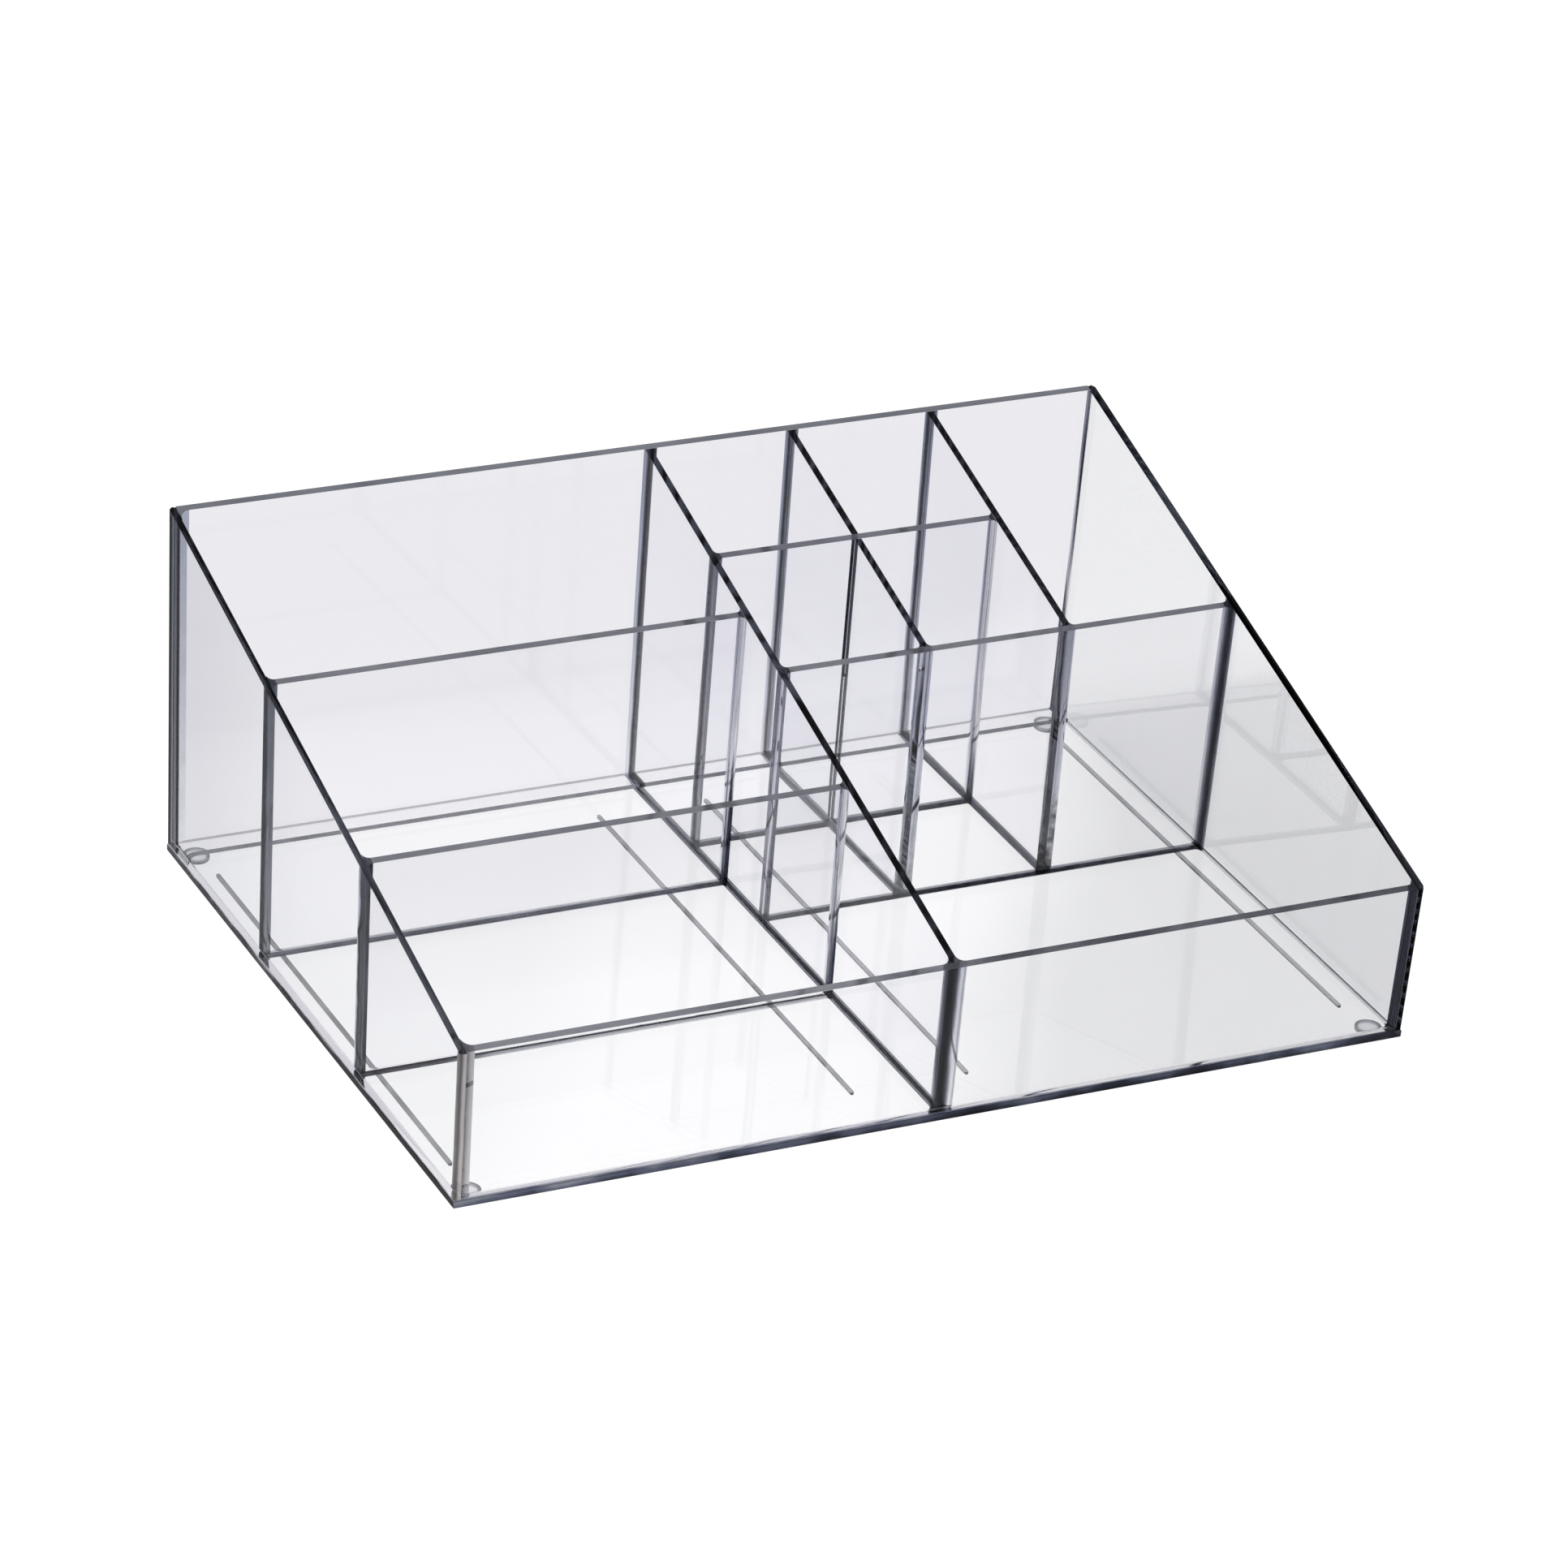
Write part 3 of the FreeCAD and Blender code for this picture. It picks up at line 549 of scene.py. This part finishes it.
side_wall("left_side_panel", -1, (left_mat, rim_along_mat, front_corner, ink_mat, left_end_band, rim_along_mat, left_mat, left_mat, pale_mat), [17])
side_wall("right_side_panel", 1, (right_mat, rim_along_mat, navy_streak, pale_mat, mixed_streak, rim_along_mat, right_mat, right_mat, pale_mat), [7])


def end_wall(name, y_out, y_in, lean, mats, wall_foot, dark, footed, r_left, r_right):
    """Front or back wall, with a fillet in each inner corner and a fillet or ledge along its foot."""
    L, R = (-SIDE_LEAN, lean), (SIDE_LEAN, lean)
    s = 1 if y_in > y_out else -1

    def plan(h):
        yi = y_in + s * foot(h, wall_foot)
        xl, xr = -XI + GAP + foot(h, FOOT), XI - GAP - foot(h, FOOT)
        if s > 0:
            pts = [(xl, y_out, *L), (xr, y_out, *R)] + arc(xr - r_right, yi + r_right, r_right, 0, -90, R)
            pts += arc(xl + r_left, yi + r_left, r_left, -90, -180, L)
            return pts, [CLEAR, END_B] + [FLARE_B] * 7 + [CLEAR] + [FLARE_A] * 7 + [END_A]
        pts = [(xr, y_out, *R), (xl, y_out, *L)] + arc(xl + r_left, yi - r_left, r_left, 180, 90, L)
        pts += arc(xr - r_right, yi - r_right, r_right, 90, 0, R)
        return pts, [CLEAR, END_A] + [FLARE_A] * 7 + [CLEAR] + [FLARE_B] * 7 + [END_B]

    return put(solid(name + "_clear", plan, levels(FOOT, wall_foot), mats, False, dark=dark, sole=SOLE, rounded=False, tread=LEDGE_H, footed=footed), name)


end_wall("front_panel", FRONT_Y, YFI, -END_LEAN, (front_mat, rim_front_mat, front_corner, navy_mat, navy_streak, rim_front_mat, front_corner, navy_streak, pale_mat),
         FOOT, 0.35, [0], 3.0, 2.3)
end_wall("back_panel", BACK_Y, YBI, END_LEAN, (back_mat, rim_across_mat, corner_band, line_mat, mixed_streak, rim_across_mat, soft_flare, mixed_streak, tread_mat),
         LEDGE, LEDGE_H - 0.01, range(1, 99), 3.4, 1.0)


# floor: the plate with its grooves, its outer edges painted dark, as painted shade, and slightly rounded
def floor_piece():
    bm = bmesh.new()
    bm.from_mesh(bpy.data.objects["floor_panel"].data)
    bmesh.ops.remove_doubles(bm, verts=bm.verts, dist=1e-6)
    bm.normal_update()
    top = (FOOT_H + FLOOR_T) * MM
    seats = {f for f in bm.faces if f.normal.z > 0.5 and max(v.co.z for v in f.verts) < top - 0.3 * MM}
    bmesh.ops.dissolve_limit(bm, angle_limit=math.radians(0.5), verts=bm.verts, edges=[e for e in bm.edges if not seats.issuperset(e.link_faces)])
    for f in bm.faces:
        z = [v.co.z for v in f.verts]
        if abs(f.normal.z) < 0.5:
            edge = END_A if f.normal.y < -0.5 else END_B if f.normal.x < -0.5 else RIM
            f.material_index = edge if min(z) < (FOOT_H + 0.1) * MM else UNDER
        elif f.normal.z > 0.5 and max(z) < top - 0.3 * MM:
            f.material_index = UNDER
        else:
            f.material_index = CLEAR
    for v in bm.verts:    # clear of the strips and feet under it
        if v.co.z < (FOOT_H + 0.1) * MM:
            v.co.z += GAP * MM
    rim = [e for e in bm.edges if len(e.link_faces) == 2 and any(f.material_index in (RIM, END_A, END_B) for f in e.link_faces) and any(f.material_index == CLEAR for f in e.link_faces)]
    bmesh.ops.bevel(bm, geom=rim, offset=0.4 * MM, segments=3, profile=0.5, affect="EDGES", material=-1)
    for f in bm.faces:    # the groove of the front step has a painted shade of its own
        c = f.calc_center_median() / MM
        if f.material_index == UNDER and abs(c.y - STEP_FY) < 2.0 and c.x < -HALF:
            f.material_index = CAP
    me = bpy.data.meshes.new("floor_panel_clear")
    bm.to_mesh(me)
    bm.free()
    ob = bpy.data.objects.new("floor_panel_clear", me)
    bpy.context.scene.collection.objects.link(ob)
    for m in (base_mat, edge_mat, navy_mat, soft_seat, ink_mat, step_seat):
        me.materials.append(m)
    return put(ob, "floor_panel")


floor_piece()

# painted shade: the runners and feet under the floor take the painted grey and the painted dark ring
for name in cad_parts:
    if name.endswith("_runner") or name.endswith("_foot"):
        ob = bpy.data.objects[name]
        ob.data.materials.clear()
        ob.data.materials.append(runner_mat if name.endswith("_runner") else foot_mat)

# ------------------------------------------------------------------ floor of the studio, light, camera
me = bpy.data.meshes.new("studio_floor")
bm = bmesh.new()
bm.faces.new([bm.verts.new((x, y, -0.00005)) for x, y in ((-6, -6), (6, -6), (6, 6), (-6, 6))])
bm.to_mesh(me)
bm.free()
studio = bpy.data.objects.new("studio_floor", me)
bpy.context.scene.collection.objects.link(studio)
sm = bpy.data.materials.new("studio_floor_white")
sm.use_nodes = True
sp = sm.node_tree.nodes["Principled BSDF"]
sp.inputs["Base Color"].default_value = (0.15, 0.15, 0.15, 1)
sp.inputs["Emission Color"].default_value = (1, 1, 1, 1)
sp.inputs["Emission Strength"].default_value = 1.04
sp.inputs["Roughness"].default_value = 0.9
sp.inputs["Specular IOR Level"].default_value = 0.0
me.materials.append(sm)

scene = bpy.context.scene
world = bpy.data.worlds.new("soft_studio")
world.use_nodes = True
scene.world = world
wt = world.node_tree
back = wt.nodes["Background"]
coord = node(wt, "ShaderNodeTexCoord")
toward = node(wt, "ShaderNodeVectorMath", operation="DOT_PRODUCT")
toward.inputs[1].default_value = (0.20, 0.90, 0.39)    # a large white backdrop behind the object
wt.links.new(coord.outputs["Generated"], toward.inputs[0])
sky = node(wt, "ShaderNodeValToRGB")
sky.color_ramp.interpolation = "EASE"
sky.color_ramp.elements[0].position = 0.55
sky.color_ramp.elements[0].color = (0.16, 0.16, 0.17, 1)
sky.color_ramp.elements[1].position = 0.85
sky.color_ramp.elements[1].color = (1.0, 1.0, 1.0, 1)
wt.links.new(toward.outputs["Value"], sky.inputs["Fac"])
wt.links.new(sky.outputs["Color"], back.inputs["Color"])
back.inputs["Strength"].default_value = 1.0

cam_data = bpy.data.cameras.new("photo_camera")
cam = bpy.data.objects.new("photo_camera", cam_data)
scene.collection.objects.link(cam)
right = Vector((0.89911, -0.43159, 0.07302))
down = Vector((-0.14117, -0.44384, -0.88493))
ahead = Vector((0.41434, 0.78534, -0.45998))
spin = Matrix((right, -down, -ahead)).transposed()
spot = Vector((-675.931 - 150.0, -1453.759 + FRONT_Y + HALF, 968.410 + FOOT_H)) * MM
cam.matrix_world = Matrix.Translation(spot) @ spin.to_4x4()
cam_data.sensor_width = 36.0
cam_data.lens = 155.87
cam_data.clip_start, cam_data.clip_end = 0.1, 60.0
scene.camera = cam

scene.view_settings.view_transform = "Standard"
scene.view_settings.look = "None"
c = scene.cycles
c.max_bounces = 40
c.transmission_bounces = 32
c.glossy_bounces = 24
c.diffuse_bounces = 4
c.volume_bounces = 0
